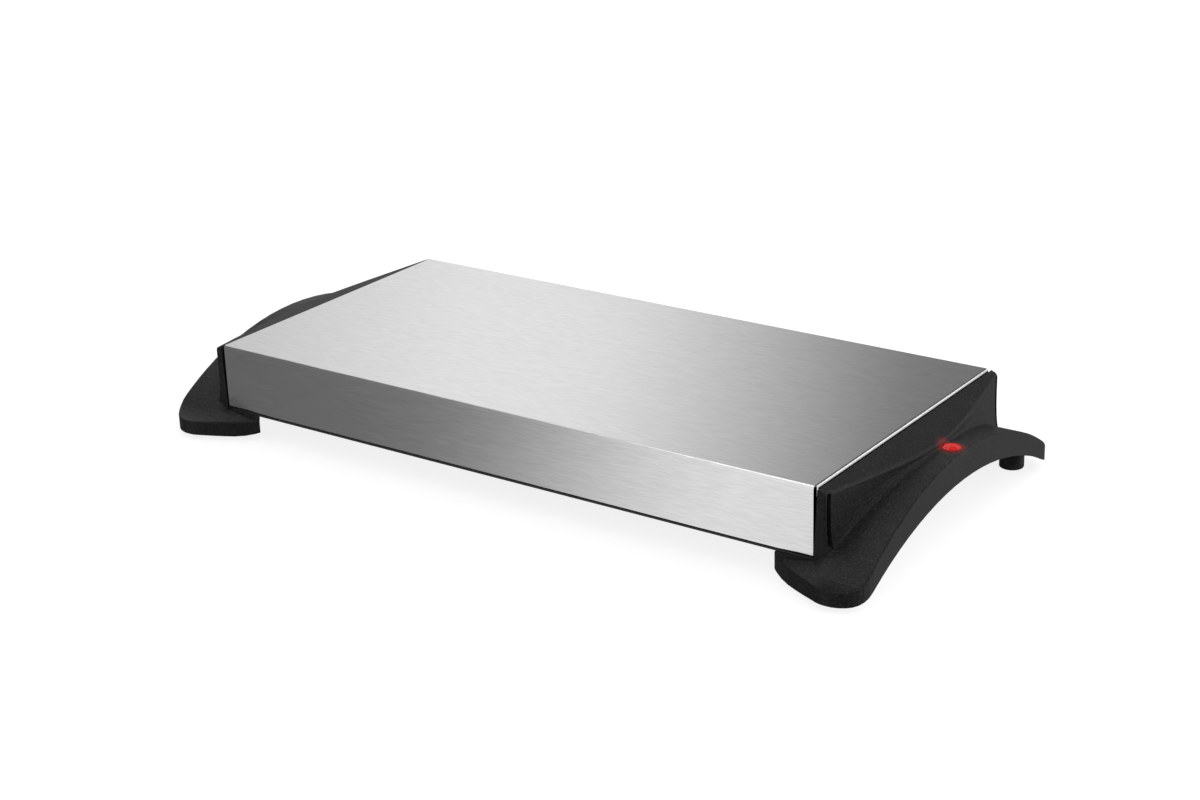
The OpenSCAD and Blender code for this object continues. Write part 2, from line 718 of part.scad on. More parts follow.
// Bottom pan: a floor with an embossed panel, vent slots and a flange turned up at each end
module bottom_pan() {
    color("#1d1e20") difference() {
        union() {
            difference() {
                translate([-pan_x, -pan_y, shelf_z]) cube([2 * pan_x, 2 * pan_y, pan_t]);
                translate([-panel_l / 2, -panel_d / 2, shelf_z - cut])
                    cube([panel_l, panel_d, pan_t + 2 * cut]);
            }
            difference() {
                panel_box(panel_lap, 0, panel_top - shelf_z);
                panel_box(panel_lap - pan_t, -cut, panel_rise + cut);
            }
            for (side = [0, 1]) mirror([side, 0, 0]) translate([pan_x - pan_t, -pan_flange_y, shelf_z])
                cube([pan_t, 2 * pan_flange_y, pan_t + pan_flange_h]);
        }
        for (i = [1:vent_n], side = [-1, 1])
            translate([-panel_l / 2 + i * vent_pitch, side * vent_row_y, shelf_z - cut]) vent_slot();
        pan_screw_places() translate([0, 0, shelf_z]) hole(small_screw_d + screw_gap, pan_t);
        corners(toe_screw_x, toe_screw_u) translate([0, 0, shelf_z]) hole(screw_d + screw_gap, pan_t);
        wall_screw_places() hole(screw_d + screw_gap, pan_t);
        translate([pan_x - pan_t, 0, lamp_hole_z]) rotate([0, 90, 0]) hole(2 * lead_d + fit_gap, pan_t);
        translate([earth_x, earth_y, panel_top - pan_t]) hole(screw_d + screw_gap, pan_t);
    }
}

// A block over the panel, wider than it by lap on each side, from low above the pan's floor up by h
module panel_box(lap, low, h) {
    translate([-panel_l / 2 - lap, -panel_d / 2 - lap, shelf_z + low])
        cube([panel_l + 2 * lap, panel_d + 2 * lap, h]);
}

module vent_slot() {
    linear_extrude(panel_rise + pan_t + 2 * cut) {
        translate([-vent_w / 2, (vent_w - vent_l) / 2]) square([vent_w, vent_l - vent_w]);
        for (side = [-1, 1]) translate([0, side * (vent_l - vent_w) / 2]) circle(d = vent_w);
    }
}

module pan_screws() {
    color("#a9abae") pan_screw_places() translate([0, 0, shelf_z])
        screw(small_screw_d, pan_t + sheet_t + pan_screw_tail, small_head_d, small_head_h);
}

module toe_screws() {
    color("#a9abae") corners(toe_screw_x, toe_screw_u) translate([0, 0, shelf_z - shelf_lip])
        screw(screw_d, toe_screw_l, screw_head_d, screw_head_h);
}

module end_wall_screws() {
    color("#a9abae") wall_screw_places() screw(screw_d, wall_screw_l, screw_head_d, screw_head_h);
}

module liner_screws() {
    color("#a9abae") corners(liner_boss_x, liner_boss_u) translate([0, 0, liner_seat_z])
        screw(screw_d, liner_screw_l, screw_head_d, screw_head_h);
}

// Heater: spreader, ribbon between two mica sheets, blanket, and a clamp plate on studs
module heat_spreader_plate() {
    color("#c9ccd0") difference() {
        translate([-spreader_l / 2, -spreader_d / 2, spreader_z]) cube([spreader_l, spreader_d, spreader_t]);
        ear_places() translate([0, 0, spreader_z]) hole(small_screw_d + screw_gap, spreader_t);
    }
}

module layer(z, h) {
    difference() {
        translate([-stack_l / 2, -stack_d / 2, z]) cube([stack_l, stack_d, h]);
        stud_places() translate([0, 0, z]) hole(stud_d + screw_gap, h);
        for (x = [stat_x, fuse_x]) window(x, z, window_l, h);
        window(tail_x, z, tail_window_l, h);
    }
}

module window(x, z, l, h) {
    translate([x - l / 2, -window_w / 2, z - cut]) cube([l, window_w, h + 2 * cut]);
}

module mica_sheet_upper() {
    color("#b79a63") layer(mica_up_z, mica_t);
}

module mica_sheet_lower() {
    color("#b79a63") layer(mica_low_z, mica_t);
}

module insulation_blanket() {
    color("#e4e1d6") layer(blanket_z, blanket_t);
}

module clamp_plate() {
    color("#9fa3a8") layer(clamp_z, clamp_t);
}

// One ribbon folded to and fro over the mica in two halves, joined at the left, with both ends at the right
module heating_ribbon() {
    color("#8a8d92") union() {
        for (side = [0, 1]) mirror([0, side, 0]) {
            ribbon_half();
            ribbon_tail();
        }
        translate([-ribbon_l / 2, -ribbon_inner_y - cut, ribbon_z])
            cube([ribbon_pitch - ribbon_gap_w / 2, 2 * (ribbon_inner_y + cut), ribbon_t]);
    }
}

module ribbon_half() {
    reach = ribbon_d / 2 - ribbon_inner_y;
    translate([-ribbon_l / 2, ribbon_inner_y, ribbon_z]) linear_extrude(ribbon_t) difference() {
        square([ribbon_l, reach]);
        for (i = [1:ribbon_gaps])
            translate([i * ribbon_pitch - ribbon_gap_w / 2, i % 2 == 0 ? ribbon_edge : -ribbon_edge])
                square([ribbon_gap_w, reach]);
    }
}

module ribbon_tail() {
    translate([tail_x - tail_w / 2, tail_y, ribbon_z])
        cube([tail_w, ribbon_inner_y + cut - tail_y, ribbon_t]);
    translate([tail_x - tail_w / 2, tail_y, ribbon_z - tail_l]) cube([tail_w, ribbon_t, tail_l + ribbon_t]);
}

module spreader_studs() {
    color("#c4c6c9") stud_places() translate([0, 0, spreader_z - stud_l]) cylinder(d = stud_d, h = stud_l);
}

module clamp_nuts() {
    color("#c4c6c9") stud_places() translate([0, 0, clamp_z - nut_h]) difference() {
        cylinder(d = nut_d, h = nut_h, $fn = 6);
        hole(stud_d + fit_gap, nut_h);
    }
}

// Thermostat: a can with two ears and two tabs, screwed to the spreader
module thermostat() {
    color("#3a3c40") difference() {
        translate([stat_x, 0, 0]) {
            translate([0, 0, spreader_z - stat_h]) cylinder(d = stat_d, h = stat_h);
            translate([-ear_l / 2, -ear_w / 2, spreader_z - ear_t]) cube([ear_l, ear_w, ear_t]);
            for (side = [-1, 1])
                translate([side * tab_x - tab_t / 2, -tab_w / 2, tab_z]) cube([tab_t, tab_w, tab_h + cut]);
        }
        ear_places() translate([0, 0, spreader_z - ear_t]) hole(small_screw_d + screw_gap, ear_t);
    }
}

module thermostat_screws() {
    color("#c4c6c9") ear_places() translate([0, 0, spreader_z - ear_t])
        screw(small_screw_d, ear_t + spreader_t - fit_gap, small_head_d, small_head_h);
}

module thermal_fuse() {
    color("#d8d3c4") translate([fuse_x - fuse_l / 2, 0, fuse_z]) rotate([0, 90, 0])
        cylinder(d = fuse_d, h = fuse_l);
}

module fuse_clip() {
    color("#b5b8bb") translate([fuse_x - fuse_clip_w / 2, 0, 0]) difference() {
        union() {
            translate([0, -fuse_clip_l / 2, spreader_z - clip_sheet])
                cube([fuse_clip_w, fuse_clip_l, clip_sheet]);
            translate([0, 0, fuse_z]) rotate([0, 90, 0])
                cylinder(d = fuse_d + 2 * clip_sheet, h = fuse_clip_w);
        }
        translate([0, 0, fuse_z]) rotate([0, 90, 0]) hole(fuse_d + fit_gap / 2, fuse_clip_w);
        translate([-cut, -fuse_clip_l / 2 - cut, spreader_z])
            cube([fuse_clip_w + 2 * cut, fuse_clip_l + 2 * cut, fuse_d]);
    }
}

// Rubber feet, each with a plug in the moulding and a pocket for its screw
module rubber_foot(sx, sy) {
    color("#17181a") translate([sx * foot_x, sy * foot_u, 0]) rotate_extrude() difference() {
        union() {
            translate([0, foot_round]) square([foot_d / 2, foot_h - foot_round]);
            square([foot_d / 2 - foot_round, 2 * foot_round]);
            translate([foot_d / 2 - foot_round, foot_round]) circle(foot_round);
            translate([0, foot_h - cut]) square([plug_d / 2, plug_h + cut - fit_gap]);
        }
        translate([0, -cut]) square([(screw_d + screw_gap) / 2, foot_h + plug_h + 2 * cut]);
        translate([0, -cut]) square([screw_head_d / 2 + screw_gap, foot_pocket_h + cut]);
    }
}

module rubber_foot_front_right() {
    rubber_foot(1, -1);
}

module rubber_foot_back_right() {
    rubber_foot(1, 1);
}

module rubber_foot_front_left() {
    rubber_foot(-1, -1);
}

module rubber_foot_back_left() {
    rubber_foot(-1, 1);
}

module foot_screws() {
    color("#a9abae") corners(foot_x, foot_u) translate([0, 0, foot_pocket_h])
        screw(screw_d, foot_screw_z - foot_pocket_h, screw_head_d, screw_head_h);
}

// Pilot lamp: a domed lens on a barrel, the lamp below it, and a flat spring clip
module pilot_lamp_lens() {
    color("#e01818") on_lamp_axis() rotate_extrude() {
        translate([0, lens_rim_h - barrel_l]) square([barrel_d / 2, barrel_l]);
        intersection() {
            square([lens_d / 2, lens_rise]);
            translate([0, lens_rise - lens_dome_r]) circle(lens_dome_r);
        }
    }
}

module pilot_lamp_body() {
    color("#d9d9d4") translate([lamp_x, 0, lamp_body_z]) cylinder(d = lamp_body_d, h = lamp_body_l);
}

module pilot_lamp_clip() {
    color("#c4c6c9") on_lamp_axis() translate([0, 0, -wall_t - fit_gap - clip_t]) difference() {
        translate([-clip_w / 2, -clip_l / 2, 0]) cube([clip_w, clip_l, clip_t]);
        hole(barrel_d + fit_gap / 2, clip_t);
    }
}

// Power inlet: a flanged cup with three pins
module power_inlet() {
    color("#202124") translate([-inlet_x, cover_y, inlet_z]) rotate([90, 0, 0]) difference() {
        union() {
            translate([0, 0, -inlet_flange_t]) linear_extrude(inlet_flange_t)
                rounded_plate(inlet_w, inlet_h, inlet_round);
            translate([-inlet_body_w / 2, -inlet_body_h / 2, -cut / 2])
                cube([inlet_body_w, inlet_body_h, inlet_l + cut / 2]);
        }
        translate([0, 0, -inlet_flange_t - cut]) linear_extrude(inlet_flange_t + cut + inlet_l - inlet_floor)
            rounded_plate(inlet_body_w - 2 * inlet_wall, inlet_body_h - 2 * inlet_wall, inlet_round);
        for (side = [-1, 1]) translate([side * inlet_screw_x, 0, -inlet_flange_t])
            hole(small_screw_d + screw_gap, inlet_flange_t);
        pin_places() linear_extrude(inlet_l + cut)
            square([pin_w + fit_gap / 2, pin_h + fit_gap / 2], center = true);
    }
}

module inlet_pins() {
    color("#c9b27a") translate([-inlet_x, cover_y, inlet_z]) rotate([90, 0, 0]) pin_places()
        translate([0, 0, inlet_l - inlet_floor - pin_l]) linear_extrude(pin_l + inlet_floor + tab_h)
            square([pin_w, pin_h], center = true);
}

module inlet_screws() {
    color("#a9abae") inlet_screw_places() translate([0, 0, inlet_flange_t]) mirror([0, 0, 1])
        screw(small_screw_d, inlet_flange_t + sheet_t + pan_screw_tail, small_head_d, small_head_h);
}

module terminal_block() {
    color("#ece9e0") difference() {
        translate([block_x - block_l / 2, block_y - block_w / 2, panel_top])
            cube([block_l, block_w, block_h]);
        for (i = [0:block_ways - 1]) translate([block_way_x(i), block_y, 0]) {
            translate([0, -block_w / 2, block_lead_z]) rotate([-90, 0, 0]) hole(lead_d + fit_gap, block_w);
            translate([0, 0, panel_top + block_h / 2]) cylinder(d = block_hole_d, h = block_h);
        }
    }
}

module earth_screw() {
    color("#c9b27a") translate([earth_x, earth_y, panel_top - pan_t])
        screw(screw_d, earth_top_z - panel_top + pan_t, screw_head_d, earth_head_h);
}

// Leads: a tube along a route whose corners are cut twice, square to what it meets at both ends
function cut_corners(p) = concat([p[0]],
    [for (i = [0:len(p) - 2]) each [lerp(p[i], p[i + 1], 1 / 4), lerp(p[i], p[i + 1], 3 / 4)]],
    [p[len(p) - 1]]);
function unit(v) = v / norm(v);
function heading(p, i) = let (n = len(p) - 1) unit(p[min(i + 1, n)] - p[max(i - 1, 0)]);

module lead(route) {
    p = cut_corners(cut_corners(route));
    n = len(p);
    rings = [for (i = [0:n - 1])
        let (t = heading(p, i), side = unit(cross(t, [0.35, 1, 0.6])), up = cross(side, t))
        for (k = [0:lead_sides - 1]) let (a = (k + 0.5) * 360 / lead_sides)
            p[i] + lead_d / 2 * (cos(a) * side + sin(a) * up)];
    polyhedron(points = rings, faces = concat(
        [[for (k = [0:lead_sides - 1]) k], [for (k = [lead_sides - 1:-1:0]) (n - 1) * lead_sides + k]],
        [for (i = [0:n - 2], k = [0:lead_sides - 1])
            let (a = i * lead_sides + k, b = i * lead_sides + (k + 1) % lead_sides)
            each [[b, a, a + lead_sides], [b, a + lead_sides, b + lead_sides]]]));
}

module live_leads() {
    color("#6b4a35") {
        inlet_to_block(-1, 0);
        lead([[block_way_x(0), block_y, block_lead_z], [block_way_x(0), block_y - block_w, block_lead_z],
            [fuse_x - fuse_l, -tail_y, tab_z], [fuse_x - fuse_l, 0, fuse_z],
            [fuse_x - fuse_l / 2, 0, fuse_z]]);
        lead([[fuse_x + fuse_l / 2, 0, fuse_z], [fuse_x + fuse_l, 0, fuse_z],
            [fuse_x + fuse_l + lead_stub, 0, lead_hang_z],
            [0, -lead_stub, lead_hang_z - lead_stub],
            [stat_x - window_l / 2, 0, lead_hang_z - 2 * lead_stub],
            [stat_x - tab_x, 0, tab_z - 2 * lead_stub], [stat_x - tab_x, 0, tab_z]]);
        lead([[stat_x + tab_x, 0, tab_z], [stat_x + tab_x, 0, tab_z - 2 * lead_stub],
            [stat_x + window_l / 2, 0, tab_z - 2 * lead_stub],
            [tail_x - tail_w / 4, -tail_y - ribbon_t / 2, tab_z - lead_stub],
            [tail_x - tail_w / 4, -tail_y - ribbon_t / 2, ribbon_z - tail_l]]);
    }
}

// From a pin of the inlet straight inwards, down, and into a way of the block
module inlet_to_block(side, way) {
    pin_z = inlet_z + pin_low;
    lead([[-inlet_x + side * pin_x, pin_tail_y, pin_z],
        [-inlet_x + side * pin_x, pin_tail_y - 2 * lead_stub, pin_z],
        [block_way_x(way), block_y + block_w + 2 * lead_stub, block_lead_z],
        [block_way_x(way), block_y + block_w / 2 + lead_stub, block_lead_z],
        [block_way_x(way), block_y + lead_d, block_lead_z]]);
}

module neutral_leads() {
    color("#3f5f8f") {
        inlet_to_block(1, 1);
        lead([[block_way_x(1), block_y, block_lead_z], [block_way_x(1), block_y - block_w, block_lead_z],
            [block_way_x(2), -window_w, lead_hang_z - lead_stub], [0, -window_w, lead_hang_z - lead_stub],
            [stat_x, -window_w, lead_hang_z - lead_stub],
            [tail_x - 2 * tail_w, tail_w, tab_z - 2 * lead_stub],
            [tail_x - tail_w / 4, tail_y + ribbon_t / 2, tab_z - 2 * lead_stub],
            [tail_x - tail_w / 4, tail_y + ribbon_t / 2, ribbon_z - tail_l]]);
    }
}

// Two leads side by side, from the ribbon's tails out through the end wall to the lamp
module lamp_leads() {
    color("#8a2b2b") for (side = [-1, 1])
        lead([[tail_x + tail_w / 4, side * (tail_y + ribbon_t / 2), ribbon_z - tail_l],
            [tail_x + tail_w / 4, side * (tail_y + ribbon_t / 2), lamp_hole_z],
            [tail_x + 2 * tail_w, side * tail_y, lamp_hole_z],
            [pan_x - lead_stub, side * (lead_d + fit_gap / 4) / 2, lamp_hole_z],
            [lamp_x - 2 * lamp_body_d, side * (lead_d + fit_gap / 4) / 2, lamp_hole_z],
            [lamp_x - lamp_body_d / 2, side * (lead_d + fit_gap / 4) / 2, lamp_hole_z]]);
}

module earth_lead() {
    color("#7f9a3c") lead([[-inlet_x, pin_tail_y, inlet_z + pin_top],
        [-inlet_x, pin_tail_y - 2 * lead_stub, inlet_z + pin_top],
        [earth_x - lead_stub, earth_y, inlet_z + pin_top], [earth_x, earth_y, inlet_z],
        [earth_x, earth_y, earth_top_z]]);
}

steel_cover();
heat_spreader_plate();
mica_sheet_upper();
heating_ribbon();
mica_sheet_lower();
insulation_blanket();
clamp_plate();
spreader_studs();
clamp_nuts();
thermostat();
thermostat_screws();
thermal_fuse();
fuse_clip();
bottom_pan();
right_end_piece();
left_end_piece();
right_arch_liner();
left_arch_liner();
rubber_foot_front_right();
rubber_foot_back_right();
rubber_foot_front_left();
rubber_foot_back_left();
foot_screws();
toe_screws();
end_wall_screws();
pan_screws();
liner_screws();
pilot_lamp_lens();
pilot_lamp_body();
pilot_lamp_clip();
power_inlet();
inlet_pins();
inlet_screws();
terminal_block();
live_leads();
neutral_leads();
lamp_leads();
earth_lead();
earth_screw();
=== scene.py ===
"""An electric food warmer tray: the finishes of its pieces, the floor under it, the light and the camera."""

import json
import math

import bpy
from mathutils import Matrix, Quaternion, Vector


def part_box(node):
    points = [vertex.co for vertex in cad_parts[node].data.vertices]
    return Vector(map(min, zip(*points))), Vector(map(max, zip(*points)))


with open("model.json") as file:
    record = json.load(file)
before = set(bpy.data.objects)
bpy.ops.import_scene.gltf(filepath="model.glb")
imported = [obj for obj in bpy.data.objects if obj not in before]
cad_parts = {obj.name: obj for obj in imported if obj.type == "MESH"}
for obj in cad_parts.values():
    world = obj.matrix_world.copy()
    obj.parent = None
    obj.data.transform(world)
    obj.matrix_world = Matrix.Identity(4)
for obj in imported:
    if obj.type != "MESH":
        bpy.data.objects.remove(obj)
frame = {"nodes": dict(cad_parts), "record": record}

# One millimetre, in metres
MM = 0.001

# The middle of the pilot lamp's lens where it leaves the moulding, in metres
LENS_LOW, LENS_HIGH = (Vector(corner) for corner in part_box("pilot_lamp_lens"))
LENS_PLACE = ((LENS_LOW.x + LENS_HIGH.x) / 2, (LENS_LOW.y + LENS_HIGH.y) / 2, LENS_HIGH.z)

# How far the lens, and the painted red glow round it that stands in for its light on the plastic, reach from
# there, in millimetres
LENS_REACH = 4.6
PAINTED_GLOW_REACH = 11.0

# Turn of the rings in the lens, in radians for a millimetre
RING_TURN = 5.2

# Where the camera stands, in metres, and where it looks, in degrees
CAMERA_PLACE = (0.71979, -0.99818, 0.51175)
CAMERA_AZIMUTH = 35.46
CAMERA_ELEVATION = 21.35
CAMERA_ROLL = -1.73

# Its lens in millimetres, its shift, and the nearest and farthest distance that it sees, in metres
CAMERA_LENS = 66.709
CAMERA_SHIFT = (-0.0071, -0.0009)
CAMERA_NEAR = 0.05
CAMERA_FAR = 50.0

# The floor: its side in metres, its own grey, and what it adds to that for the camera alone
FLOOR_SIZE = 12.0
FLOOR_GREY = 0.3
FLOOR_GLOW = 0.85

# The softbox behind at the right, in metres, and its level, where 1 is a white card
BOX_PLACE = (0.78, 1.5, 1.2)
BOX_TARGET = (0.2, 0, 0.05)
BOX_WIDTH = 0.8
BOX_HEIGHT = 1.0
BOX_LEVEL = 1.4

# The soft light: its level from all sides, and what it gains from above and from behind at the right
EVEN_LIGHT = 0.18
LIGHT_ABOVE = 0.6
LIGHT_BEHIND = 0.9
LIGHT_WAY = (0.8, 0.6)

# What a glossy surface mirrors. A level of 1 is a white card. An edge is a pair of values of the mirrored
# direction's X, Y or Z: the zone that it belongs to is nothing at the first and full at the second.

# From in front of the tray to behind it, by Y
TURN_EDGE = (-0.1, 0.1)

# Behind the tray: dim, bright towards the left, less bright at the far left, and dim near the floor
BACK_DIM = 0.24
BACK_BRIGHT = 1.04
BACK_EDGE = (-0.43, -0.545)
BACK_FAR_EDGE = (-0.6, -0.73)
BACK_FAR_LOSS = 0.55
BACK_LOW = 0.14
BACK_LOW_EDGE = (0.2, 0.02)

# In front of it: dim at the left, then bright, then a middle grey that is nearly black near the floor
FRONT_DIM = 0.13
FRONT_BRIGHT = 1.25
FRONT_EDGE = (-0.575, -0.51)
FRONT_SIDE = 0.65
FRONT_SIDE_EDGE = (-0.48, -0.3)
FRONT_UNDER = 0.08
FRONT_UNDER_EDGE = (-0.12, -0.3)

# Behind it at the right: dim above and grey below
RIGHT_EDGE = (0.1, 0.5)
RIGHT_HIGH = 0.12
RIGHT_LOW = 0.6
RIGHT_LOW_EDGE = (0.5, 0.35)

# A white card at the right and a little behind, near the floor, which lights the flank under the ridge
CARD = 2.0
CARD_EDGE_X = (0.55, 0.72)
CARD_EDGE_Y = (0.2, 0.4)
CARD_LOW_EDGE = (-0.3, -0.1)
CARD_TOP_EDGE = (0.25, 0.1)

# Dark high behind, but for the far left
HIGH_DARK = 0.06
HIGH_DARK_EDGE_X = (-0.44, -0.4)
HIGH_DARK_EDGE_Y = (0.35, 0.55)
HIGH_DARK_EDGE_Z = (0.4, 0.5)

# Straight overhead
OVERHEAD = 0.35
OVERHEAD_EDGE = (0.76, 0.88)

# A bright patch nearly overhead, at the left and in front, which lights the tops of the front feet
PATCH = 3.0
PATCH_EDGE_X = (-0.2, -0.35)
PATCH_EDGE_Y = (0.3, 0.1)
PATCH_EDGE_Z = (0.83, 0.89)


class Wire:
    """A socket of a material whose sums and products add Math nodes."""

    def __init__(self, shader, socket):
        self.shader = shader
        self.socket = socket

    def __add__(self, other):
        return self.shader.maths("ADD", self, other)

    def __radd__(self, other):
        return self.shader.maths("ADD", other, self)

    def __sub__(self, other):
        return self.shader.maths("SUBTRACT", self, other)

    def __rsub__(self, other):
        return self.shader.maths("SUBTRACT", other, self)

    def __mul__(self, other):
        return self.shader.maths("MULTIPLY", self, other)

    def __rmul__(self, other):
        return self.shader.maths("MULTIPLY", other, self)

    def __truediv__(self, other):
        return self.shader.maths("DIVIDE", self, other)

    def __pow__(self, other):
        return self.shader.maths("POWER", self, other)

    def at_least(self, other):
        return self.shader.maths("MAXIMUM", self, other)

    def at_most(self, other):
        return self.shader.maths("MINIMUM", self, other)


class Shader:
    """The nodes of one material or of the world."""

    def __init__(self, owner):
        self.owner = owner
        owner.use_nodes = True
        self.tree = owner.node_tree
        self.tree.nodes.clear()

    def node(self, kind, settings=None, sockets=None, out=0):
        """Adds a node, sets its settings and then its sockets, and gives the wire of one output."""
        made = self.tree.nodes.new(kind)
        for name, value in (settings or {}).items():
            setattr(made, name, value)
        for name, value in (sockets or {}).items():
            if isinstance(value, Wire):
                self.tree.links.new(value.socket, made.inputs[name])
            else:
                made.inputs[name].default_value = value
        return Wire(self, made.outputs[out]) if len(made.outputs) else None

    def maths(self, operation, a, b):
        return self.node("ShaderNodeMath", {"operation": operation}, {0: a, 1: b})

    def vectors(self, operation, sockets, out="Vector"):
        return self.node("ShaderNodeVectorMath", {"operation": operation}, sockets, out)

    def ramp(self, value, low, high):
        """A value made steeper: 0 at low and 1 at high, whichever of the two is larger."""
        return ((value - low) / (high - low)).at_least(0.0).at_most(1.0)

    def fade(self, first, second, mask):
        """One number where the mask is 0 and another where it is 1."""
        return first + (second - first) * mask

    def blend(self, mask, first, second):
        """One colour where the mask is 0 and another where it is 1."""
        sockets = {"Factor": mask, 6: first, 7: second}
        return self.node("ShaderNodeMix", {"data_type": "RGBA"}, sockets, out=2)

    def place(self):
        """The point on the object, in millimetres."""
        point = self.node("ShaderNodeTexCoord", out="Object")
        return self.node("ShaderNodeMapping", None, {"Vector": point, "Scale": (1 / MM,) * 3})

    def noise(self, place, size, detail=3.0, stretch=(1, 1, 1)):
        """Noise whose lumps are about size millimetres across, drawn out by stretch."""
        drawn = tuple(1 / (size * times) for times in stretch)
        scaled = self.node("ShaderNodeMapping", None, {"Vector": place, "Scale": drawn})
        return self.node("ShaderNodeTexNoise", None, {"Vector": scaled, "Scale": 1.0, "Detail": detail})

    def red_part(self, colour):
        """The red of a colour, which stands for all of it in a texture that is grey or random."""
        return self.node("ShaderNodeSeparateColor", None, {"Color": colour})

    def from_lens(self, place):
        """The distance from the middle of the lens, in millimetres."""
        middle = tuple(part / MM for part in LENS_PLACE)
        return self.vectors("DISTANCE", {0: place, 1: middle}, out="Value")

    def bump(self, height, depth):
        """A normal from a height between 0 and 1 that stands for depth millimetres."""
        sockets = {"Height": height, "Distance": depth * MM, "Strength": 1.0}
        return self.node("ShaderNodeBump", None, sockets)

    def across_x(self, slope):
        """A normal that leans by a slope square to the X axis, as straight scratches along X make it."""
        normal = self.node("ShaderNodeNewGeometry", out="Normal")
        side = self.vectors("CROSS_PRODUCT", {0: (1, 0, 0), 1: normal})
        lean = self.vectors("SCALE", {0: side, "Scale": slope})
        both = self.vectors("ADD", {0: normal, 1: lean})
        return self.vectors("NORMALIZE", {0: both})

    def finish(self, **sockets):
        """The material's surface, by the names of its sockets with _ for a space."""
        named = {name.replace("_", " "): value for name, value in sockets.items()}
        surface = self.node("ShaderNodeBsdfPrincipled", None, named)
        self.node("ShaderNodeOutputMaterial", None, {"Surface": surface})
        return self.owner


def rgb(red, green, blue):
    return (red, green, blue, 1.0)


def grey(level, tint=0.0):
    """A grey that leans to blue by tint."""
    return rgb(level, level * (1 + tint / 2), level * (1 + tint))


def new_shader(name):
    return Shader(bpy.data.materials.new(name))


def brushed_cover():
    """Stainless sheet with fine scratches along the tray, and faint wipe marks."""
    s = new_shader("brushed_cover")
    at = s.place()
    scratches = s.noise(at, size=0.12, detail=1.0, stretch=(120, 1, 1))
    strokes = s.noise(at, size=0.6, detail=1.0, stretch=(16, 1, 1))
    wipes = s.noise(at, size=55, stretch=(2.5, 1, 1))
    return s.finish(
        Base_Color=s.blend(s.ramp(strokes, 0.35, 0.65), grey(0.685), grey(0.75, 0.005)),
        Metallic=1.0,
        Roughness=0.17 + wipes * 0.03,
        Normal=s.across_x((scratches - 0.5) * 0.5 + (strokes - 0.5) * 0.03),
    )


def moulded_black(name, level, rough, lit=False):
    """Black plastic with the fine grain of a spark eroded mould, and with lit a painted red glow round the
    lens.
    """
    s = new_shader(name)
    at = s.place()
    grain = s.noise(at, size=0.9, detail=2.0)
    cloud = s.noise(at, size=30)
    plain = s.blend(s.ramp(cloud, 0.3, 0.7), grey(level, 0.03), grey(level * 1.2, 0.05))
    sockets = {
        "Base_Color": s.blend(s.ramp(grain, 0.5, 0.72), plain, grey(level * 3.2, 0.03)),
        "Roughness": rough + grain * 0.14 - cloud * 0.06,
        "Specular_IOR_Level": 0.2,
        "Normal": s.bump(grain, 0.28),
    }
    # Painted light: the plastic round the lens emits red, in place of the lens's light falling on it.
    if lit:
        glow = s.ramp(s.from_lens(at), PAINTED_GLOW_REACH, LENS_REACH) ** 2.0
        sockets["Emission_Color"] = s.blend(glow, rgb(0, 0, 0), rgb(1.0, 0.03, 0.02))
        sockets["Emission_Strength"] = 0.16
    return s.finish(**sockets)


def foot_rubber():
    """Dull rubber with a bloom and fine pits."""
    s = new_shader("foot_rubber")
    at = s.place()
    pits = s.noise(at, size=0.6)
    bloom = s.noise(at, size=6)
    colour = s.blend(s.ramp(bloom, 0.35, 0.75), grey(0.018), grey(0.035, -0.03))
    return s.finish(Base_Color=colour, Roughness=0.72 + pits * 0.15, Normal=s.bump(pits, 0.03))


def lamp_red():
    """Clear red plastic lit from behind, with rings that spread its light and brighten it as a painted
    highlight.
    """
    s = new_shader("lamp_red")
    at = s.place()
    reach = s.from_lens(at)
    rings = s.maths("SINE", reach * RING_TURN, 0.0) * 0.5 + 0.5
    ripple = s.noise(at, size=0.9, detail=2.0)
    core = s.ramp(reach, LENS_REACH, 1.0)
    return s.finish(
        Base_Color=s.blend(s.ramp(ripple, 0.3, 0.7), rgb(0.42, 0.004, 0.004), rgb(0.55, 0.012, 0.01)),
        Roughness=0.12 + ripple * 0.1,
        Specular_IOR_Level=0.5,
        # The lamp's own glow, brighter at the middle, plus a painted highlight where the rings brighten it.
        Emission_Color=s.blend(core * 0.6 + rings * 0.4, rgb(0.45, 0.006, 0.004), rgb(1.0, 0.03, 0.02)),
        Emission_Strength=0.35,
        Normal=s.bump(rings, 0.12),
    )


def sheet_metal(name, level, rough, metallic, lump, tint):
    """Rolled, plated or painted sheet: a faint mottle and a soft orange peel."""
    s = new_shader(name)
    at = s.place()
    mottle = s.noise(at, size=lump, detail=4.0)
    peel = s.noise(at, size=0.8, detail=2.0)
    return s.finish(
        Base_Color=s.blend(s.ramp(mottle, 0.3, 0.7), grey(level * 0.88, tint), grey(level * 1.08, tint)),
        Metallic=metallic,
        Roughness=rough + mottle * 0.15,
        Normal=s.bump(peel, 0.02),
    )


def turned_metal(name, dull, bright, rough):
    """Small turned or pressed metal pieces with drag marks and a little dulling."""
    s = new_shader(name)
    at = s.place()
    marks = s.noise(at, size=0.25, detail=2.0, stretch=(1, 1, 4))
    wear = s.noise(at, size=2.5)
    return s.finish(
        Base_Color=s.blend(s.ramp(wear, 0.35, 0.7), dull, bright),
        Metallic=1.0,
        Roughness=rough + marks * 0.12 + wear * 0.1,
        Normal=s.bump(marks, 0.01),
    )


def mica():
    """Amber mica: overlapping flakes, and veins across them."""
    s = new_shader("mica")
    at = s.place()
    flakes = s.node("ShaderNodeTexVoronoi", {"feature": "F1"}, {"Vector": at, "Scale": 0.09}, out="Color")
    veins = s.noise(at, size=9, detail=4.0)
    colour = s.blend(s.red_part(flakes), rgb(0.46, 0.33, 0.14), rgb(0.62, 0.48, 0.25))
    return s.finish(Base_Color=colour, Roughness=0.3 + veins * 0.2, Normal=s.bump(veins, 0.1))


